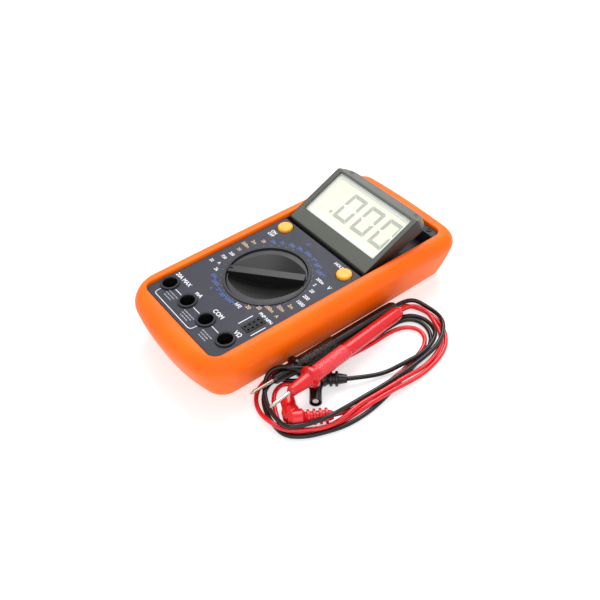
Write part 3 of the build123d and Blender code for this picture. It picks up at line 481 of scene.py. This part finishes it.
def boot_loop(off):
    cf, cr = (44.9 - off, 83.4 - off), (44.4 - off, 88.9 - off)
    corners = [(cf[0], -cf[1]), (cr[0], cr[1]), (-cr[0], cr[1]), (-cf[0], -cf[1])]
    mids = [(45.5 - off, 0.0), (0.0, 90.5 - off), (-45.5 + off, 0.0), (0.0, -90.5 + off)]
    return rounded_loop(corners, mids, [max(24 - 1.9 * off, 9.5), 12 - 0.5 * off, 12 - 0.5 * off, max(24 - 1.9 * off, 9.5)])


def rect_loop(x0, x1, y0, y1, r):
    e = 0.02
    corners = [(x1, y0), (x1, y1), (x0, y1), (x0, y0)]
    mids = [(x1 + e, (y0 + y1) / 2), ((x0 + x1) / 2, y1 + e), (x0 - e, (y0 + y1) / 2), ((x0 + x1) / 2, y0 - e)]
    return rounded_loop(corners, mids, [r] * 4)


def smooth_profile(levels, steps):
    # Catmull-Rom through (z, offset) pairs
    p = [levels[0]] + list(levels) + [levels[-1]]
    out = []
    for i in range(1, len(p) - 2):
        for t in np.linspace(0, 1, steps, endpoint=False):
            z = 0.5 * ((2 * p[i][0]) + (-p[i - 1][0] + p[i + 1][0]) * t + (2 * p[i - 1][0] - 5 * p[i][0] + 4 * p[i + 1][0] - p[i + 2][0]) * t * t + (-p[i - 1][0] + 3 * p[i][0] - 3 * p[i + 1][0] + p[i + 2][0]) * t ** 3)
            o = 0.5 * ((2 * p[i][1]) + (-p[i - 1][1] + p[i + 1][1]) * t + (2 * p[i - 1][1] - 5 * p[i][1] + 4 * p[i + 1][1] - p[i + 2][1]) * t * t + (-p[i - 1][1] + 3 * p[i][1] - 3 * p[i + 1][1] + p[i + 2][1]) * t ** 3)
            out.append((min(max(z, 0.0), 32.0), o))
    out.append(levels[-1])
    return out


def build_boot():
    levels = [(0.0, 9.6), (0.35, 8.6), (1.2, 7.8), (3.0, 6.2), (5.5, 5.2), (9.5, 3.75), (14.0, 2.4), (19.0, 1.0), (23.5, 0.05), (27.0, 0.5), (30.0, 2.3), (31.4, 4.3), (31.95, 6.3)]
    rings = []
    for z, off in smooth_profile(levels, 4):
        rings.append((boot_loop(max(off, 0.0)), np.full(1, z)))
    inner = rect_loop(-36.6, 36.6, -77.5, 80.5, 5.0)
    outer = boot_loop(6.3)
    for t, z in ((0.35, 32.0), (0.62, 31.95), (0.8, 31.8), (0.9, 31.55), (0.97, 31.1)):
        rings.append((outer * (1 - t) + inner * t, np.full(1, z)))
    rings.append((inner, np.full(1, 30.6)))
    rings.append((inner, np.full(1, 28.3)))
    cav_top = rect_loop(-41.2, 41.2, -83.2, 86.2, 15.0)
    rings.append((cav_top, np.full(1, 28.3)))
    cav_low = rect_loop(-37.4, 37.4, -79.4, 82.4, 11.5)
    rings.append((cav_low, np.full(1, 2.6)))
    window = rect_loop(-28.0, 28.0, -69.0, 73.0, 6.0)
    rings.append((window, np.full(1, 2.6)))
    rings.append((window, np.full(1, 0.3)))
    rings.append((rect_loop(-28.3, 28.3, -69.3, 73.3, 6.2), np.full(1, 0.0)))
    n = len(rings[0][0])
    verts, faces = [], []
    for loop, z in rings:
        for x, y in loop:
            verts.append((x * MM, y * MM, float(z[0]) * MM))
    k = len(rings)
    for i in range(k):
        a, b = i * n, ((i + 1) % k) * n
        for j in range(n):
            jj = (j + 1) % n
            faces.append((a + j, a + jj, b + jj, b + j))
    o = mesh_object("boot_shell", verts, faces, "meter_case", ORANGE, angle=50)
    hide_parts("boot")
    return o


boot = build_boot()


# ------------------------------------------------------------------ print on the panel
def print_material(name, c):
    m = pmat(name, c, rough=0.5, var=0.03, speck=0.10, fine=1800, bump=0.04)
    return m


INK = {"W": print_material("ink_white", lin(226, 226, 232)), "T": print_material("ink_tan", lin(206, 170, 128)),
       "B": print_material("ink_blue", lin(60, 88, 158)), "O": print_material("ink_orange", lin(214, 140, 108)),
       "D": print_material("ink_dim", lin(150, 150, 160))}
INK_Z = 30.015


def text_mesh(name, text, x, y, size, ink, bold=0.0, wide=1.0, z=INK_Z, body="meter_case"):
    cu = bpy.data.curves.new(name + "_t", "FONT")
    cu.body = text
    cu.size = size * MM * 1.4
    cu.align_x = "CENTER"
    cu.align_y = "CENTER"
    cu.offset = bold * MM
    cu.resolution_u = 3
    tmp = bpy.data.objects.new(name + "_t", cu)
    scene.collection.objects.link(tmp)
    bpy.context.view_layer.update()
    dg = bpy.context.evaluated_depsgraph_get()
    me = bpy.data.meshes.new_from_object(tmp.evaluated_get(dg))
    bpy.data.objects.remove(tmp)
    for v in me.vertices:
        v.co = Vector((x * MM + v.co.x * wide, y * MM + v.co.y, z * MM))
    me.materials.clear()
    me.materials.append(ink)
    o = bpy.data.objects.new(name, me)
    scene.collection.objects.link(o)
    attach(o, body)
    return o


def strip_mesh(name, pts, width, ink, z=INK_Z, body="meter_case"):
    # thin printed line along points
    pts = [np.array(p, float) for p in pts]
    left, right = [], []
    for i, p in enumerate(pts):
        d0 = pts[i] - pts[i - 1] if i > 0 else pts[1] - pts[0]
        d1 = pts[i + 1] - pts[i] if i < len(pts) - 1 else d0
        d0, d1 = d0 / np.linalg.norm(d0), d1 / np.linalg.norm(d1)
        nrm = np.array((-(d0 + d1)[1], (d0 + d1)[0]))
        nrm = nrm / np.linalg.norm(nrm)
        k = width / 2 / max(float(nrm @ np.array((-d0[1], d0[0]))), 0.4)
        left.append(p + nrm * k)
        right.append(p - nrm * k)
    v = [(q[0] * MM, q[1] * MM, z * MM) for q in left + right]
    n = len(pts)
    f = [(i, i + n, i + 1 + n, i + 1) for i in range(n - 1)]
    return mesh_object(name, v, f, body, ink, smooth=False)


LABELS = [
    ("W", "20", -31.6, -35.6, 2.1), ("W", "A", -26.6, -33.6, 2.0), ("W", "750", -29.4, -28.6, 2.1), ("W", "200", -28.6, -23.6, 2.0),
    ("T", "20", -29.4, -18.0, 2.1), ("T", "200m", -30.3, -12.8, 2.2), ("T", "2m", -29.0, -7.6, 2.3), ("T", "20", -25.9, -2.9, 2.1),
    ("B", "20n", -21.6, 1.3, 2.2), ("B", "2u", -17.4, 4.9, 2.2), ("B", "200", -11.9, 7.7, 2.2), ("B", "20u", -6.0, 9.4, 2.3),
    ("B", "200u", 0.6, 10.2, 2.3), ("B", "2M", 6.8, 9.6, 2.2), ("B", "20M", 12.4, 7.9, 2.2), ("B", "200M", 18.4, 5.0, 2.3),
    ("W", "200m", 23.4, 1.0, 2.0), ("W", "2", 23.9, -3.2, 2.1), ("W", "V", 31.0, 1.2, 2.6), ("W", "20", 27.0, -7.6, 2.2),
    ("W", "200", 29.0, -13.0, 2.3), ("W", "1000", 30.6, -18.2, 2.3), ("T", "2m", 29.3, -23.6, 2.2), ("T", "20m", 27.1, -28.6, 2.3),
    ("T", "200m", 23.2, -33.4, 2.3), ("T", "20", 19.0, -37.4, 2.2), ("T", "20", 14.9, -41.6, 2.4), ("T", "A", 30.6, -33.9, 2.2),
    ("W", "hFE", 10.2, -45.0, 2.3), ("B", "200M", 4.4, -46.4, 2.3), ("B", "20M", -1.8, -46.9, 2.3), ("B", "2M", -7.0, -46.2, 2.2),
    ("B", "k", -11.4, -48.6, 2.0), ("B", "200k", -13.4, -44.4, 2.3), ("B", "20k", -18.9, -41.8, 2.4), ("W", "2k", -23.0, -37.9, 2.2),
]
for i, (c, t, x, y, s) in enumerate(LABELS):
    text_mesh("scale_mark_%02d" % i, t, x, y, s, INK[c], bold=0.05, wide=0.96)
# small ticks on the ring side of each position
for i in range(36):
    a = math.radians(38.8 + i * 10.0)
    if 80 < (38.8 + i * 10.0) % 360 < 105:
        continue
    x0, y0 = 26.0 * math.cos(a), -18.8 + 26.0 * math.sin(a)
    dot = [(x0 + 0.20 * math.cos(b), y0 + 0.20 * math.sin(b)) for b in np.linspace(0, 2 * math.pi, 10, endpoint=False)]
    mesh_object("scale_dot_%02d" % i, [(x * MM, y * MM, INK_Z * MM) for x, y in dot], [tuple(range(10))], "meter_case", INK["D"], smooth=False)
text_mesh("print_on", "ON", -29.0, 6.9, 2.1, INK["W"], bold=0.07)
text_mesh("print_off", "OFF", -28.6, 4.2, 2.1, INK["W"], bold=0.07)
text_mesh("print_hold", "HOLD", 20.4, 17.0, 2.0, INK["W"], bold=0.07)
text_mesh("print_20a", "20A MAX", -27.4, -56.9, 2.5, INK["W"], bold=0.08)
text_mesh("print_ma", "mA", -11.0, -56.9, 2.6, INK["W"], bold=0.08)
text_mesh("print_com", "COM", 9.0, -56.9, 2.7, INK["W"], bold=0.08)
text_mesh("print_v", "VΩ", 28.2, -57.2, 2.7, INK["W"], bold=0.08)
strip_mesh("bracket", [(-29.5, -70.4), (-29.4, -73.0), (-28.9, -74.1), (-27.8, -74.7), (7.0, -74.9), (8.4, -74.3), (9.0, -73.2), (9.2, -70.4)], 0.42, INK["W"])
for i, (x0, x1, y) in enumerate([(-25.4, -15.6, -67.6), (-25.0, -16.4, -69.4), (-24.4, -17.0, -71.2), (-6.0, 4.0, -69.2), (-5.4, 3.4, -70.9), (-4.6, 2.8, -72.6),
                                 (13.4, 22.4, -69.6), (14.2, 22.0, -71.3), (14.8, 21.4, -73.0)]):
    # rows of short strokes stand for the small print
    x, k = x0, 0
    while x < x1 - 0.5:
        w = (1.5, 0.9, 1.9, 1.2)[(k + i) % 4]
        strip_mesh("small_print_%d_%02d" % (i, k), [(x, y), (min(x + w, x1), y)], 0.62, INK["D"])
        x += w + 0.45
        k += 1
for i, (x0, x1) in enumerate([(-23.4, -16.8), (-4.4, 2.6), (14.4, 21.6)]):
    strip_mesh("range_line_%d" % i, [(x0, -64.5), (x1, -64.5)], 0.4, INK["W"])
strip_mesh("socket_line_0", [(21.9, -52.6), (21.9, -43.2)], 0.55, INK["W"])
strip_mesh("socket_line_1", [(33.6, -52.6), (33.6, -43.2)], 0.55, INK["W"])
text_mesh("print_pnp", "PNP NPN", 28.0, -39.2, 1.9, INK["W"], bold=0.06)
# power symbol
ring = [(-6.4 + 1.05 * math.cos(a), 15.6 + 1.05 * math.sin(a)) for a in np.linspace(math.radians(125), math.radians(415), 20)]
strip_mesh("symbol_ring", ring, 0.34, INK["B"])
strip_mesh("symbol_bar", [(-6.4, 15.7), (-6.4, 17.2)], 0.34, INK["B"])


# ------------------------------------------------------------------ display digits
HY, HZ, TILT = 26.5, 26.4, math.radians(24.0)


def head_point(x, u, w):
    return (x * MM, (HY + u * math.cos(TILT) - w * math.sin(TILT)) * MM, (HZ + u * math.sin(TILT) + w * math.cos(TILT)) * MM)


SEG = pmat("lcd_segment", lin(146, 152, 140), rough=0.4, var=0.05, speck=0.04, bump=0.02, tint=lin(154, 158, 146))
# painted shadow: a paler grey for the shadow the digits cast on the backing behind them
SEG_SHADE = pmat("lcd_segment_shade", lin(198, 204, 178), rough=0.4, var=0.03, speck=0.02, bump=0.02)


def head_poly(name, polys, w, material):
    verts, faces = [], []
    for poly in polys:
        s = len(verts)
        verts += [head_point(x, u, w) for x, u in poly]
        faces.append(tuple(range(s, s + len(poly))))
    return mesh_object(name, verts, faces, "display_head", material, smooth=False)


def seven(x0, u0, w, h, t, segs, slant=0.10):
    # bars of one digit; x0, u0 is its lower left corner
    g = 0.22
    def q(pts):
        return [(x0 + x + (u) * slant, u0 + u) for x, u in pts]
    m = h / 2
    bars = {
        "a": [(g, h), (w - g, h), (w - t, h - t), (t, h - t)],
        "d": [(t, t), (w - t, t), (w - g, 0), (g, 0)],
        "g": [(t, m + t / 2), (w - t, m + t / 2), (w - t / 2, m), (w - t, m - t / 2), (t, m - t / 2), (t / 2, m)],
        "f": [(0, h - g), (t, h - t - g), (t, m + t / 2 + g), (0, m + g)],
        "b": [(w - t, h - t - g), (w, h - g), (w, m + g), (w - t, m + t / 2 + g)],
        "e": [(0, m - g), (t, m - t / 2 - g), (t, t + g), (0, g)],
        "c": [(w - t, m - t / 2 - g), (w, m - g), (w, g), (w - t, t + g)],
    }
    return [q(bars[s]) for s in segs]


DIGITS = []
for xd in (-14.0, 1.9, 17.8):
    DIGITS += seven(xd, 15.2, 11.8, 19.4, 2.3, "abcdef", slant=0.07)
DOT = [[(-17.8, 15.9), (-15.9, 15.9), (-15.7, 17.8), (-17.6, 17.8)]]
head_poly("digits", DIGITS + DOT, 2.985, SEG)
# painted shadow: the digits again, shifted 0.35 mm right and down and set just behind them
head_poly("digit_shades", [[(x + 0.35, u - 0.35) for x, u in poly] for poly in DIGITS + DOT], 2.962, SEG_SHADE)


# ------------------------------------------------------------------ stage and light
def stage_material():
    m = bpy.data.materials.new("floor")
    m.use_nodes = True
    p = m.node_tree.nodes["Principled BSDF"]
    p.inputs["Base Color"].default_value = (0.50, 0.50, 0.50, 1)
    p.inputs["Emission Color"].default_value = (1.0, 1.0, 1.0, 1)
    p.inputs["Emission Strength"].default_value = 0.56
    p.inputs["Roughness"].default_value = 0.35
    p.inputs["Specular IOR Level"].default_value = 0.35
    return m


fv = [(-4, -4, 0), (4, -4, 0), (4, 4, 0), (-4, 4, 0)]
fme = bpy.data.meshes.new("floor")
fme.from_pydata(fv, [], [(0, 1, 2, 3)])
fme.update()
fme.materials.append(stage_material())
floor = bpy.data.objects.new("floor", fme)
floor.location = (0, 0, -0.0001)
scene.collection.objects.link(floor)

world = bpy.data.worlds.new("studio")
world.use_nodes = True
world.node_tree.nodes["Background"].inputs["Color"].default_value = (1, 1, 1, 1)
world.node_tree.nodes["Background"].inputs["Strength"].default_value = 0.85
scene.world = world


def area(name, loc, look, size, power, color=(1, 1, 1)):
    ld = bpy.data.lights.new(name, "AREA")
    ld.shape = "RECTANGLE"
    ld.size, ld.size_y = size
    ld.energy = power
    ld.color = color
    o = bpy.data.objects.new(name, ld)
    o.location = loc
    d = Vector(look) - Vector(loc)
    o.rotation_euler = d.to_track_quat("-Z", "Y").to_euler()
    scene.collection.objects.link(o)
    return o


area("key", (-0.35, 0.45, 0.85), (0.02, 0, 0.02), (0.7, 0.7), 8.0)
area("fill", (0.75, -0.55, 0.65), (0.02, 0, 0.02), (0.9, 0.9), 3.0)

scene.view_settings.view_transform = "Standard"
scene.view_settings.look = "None"
scene.view_settings.exposure = 0.0
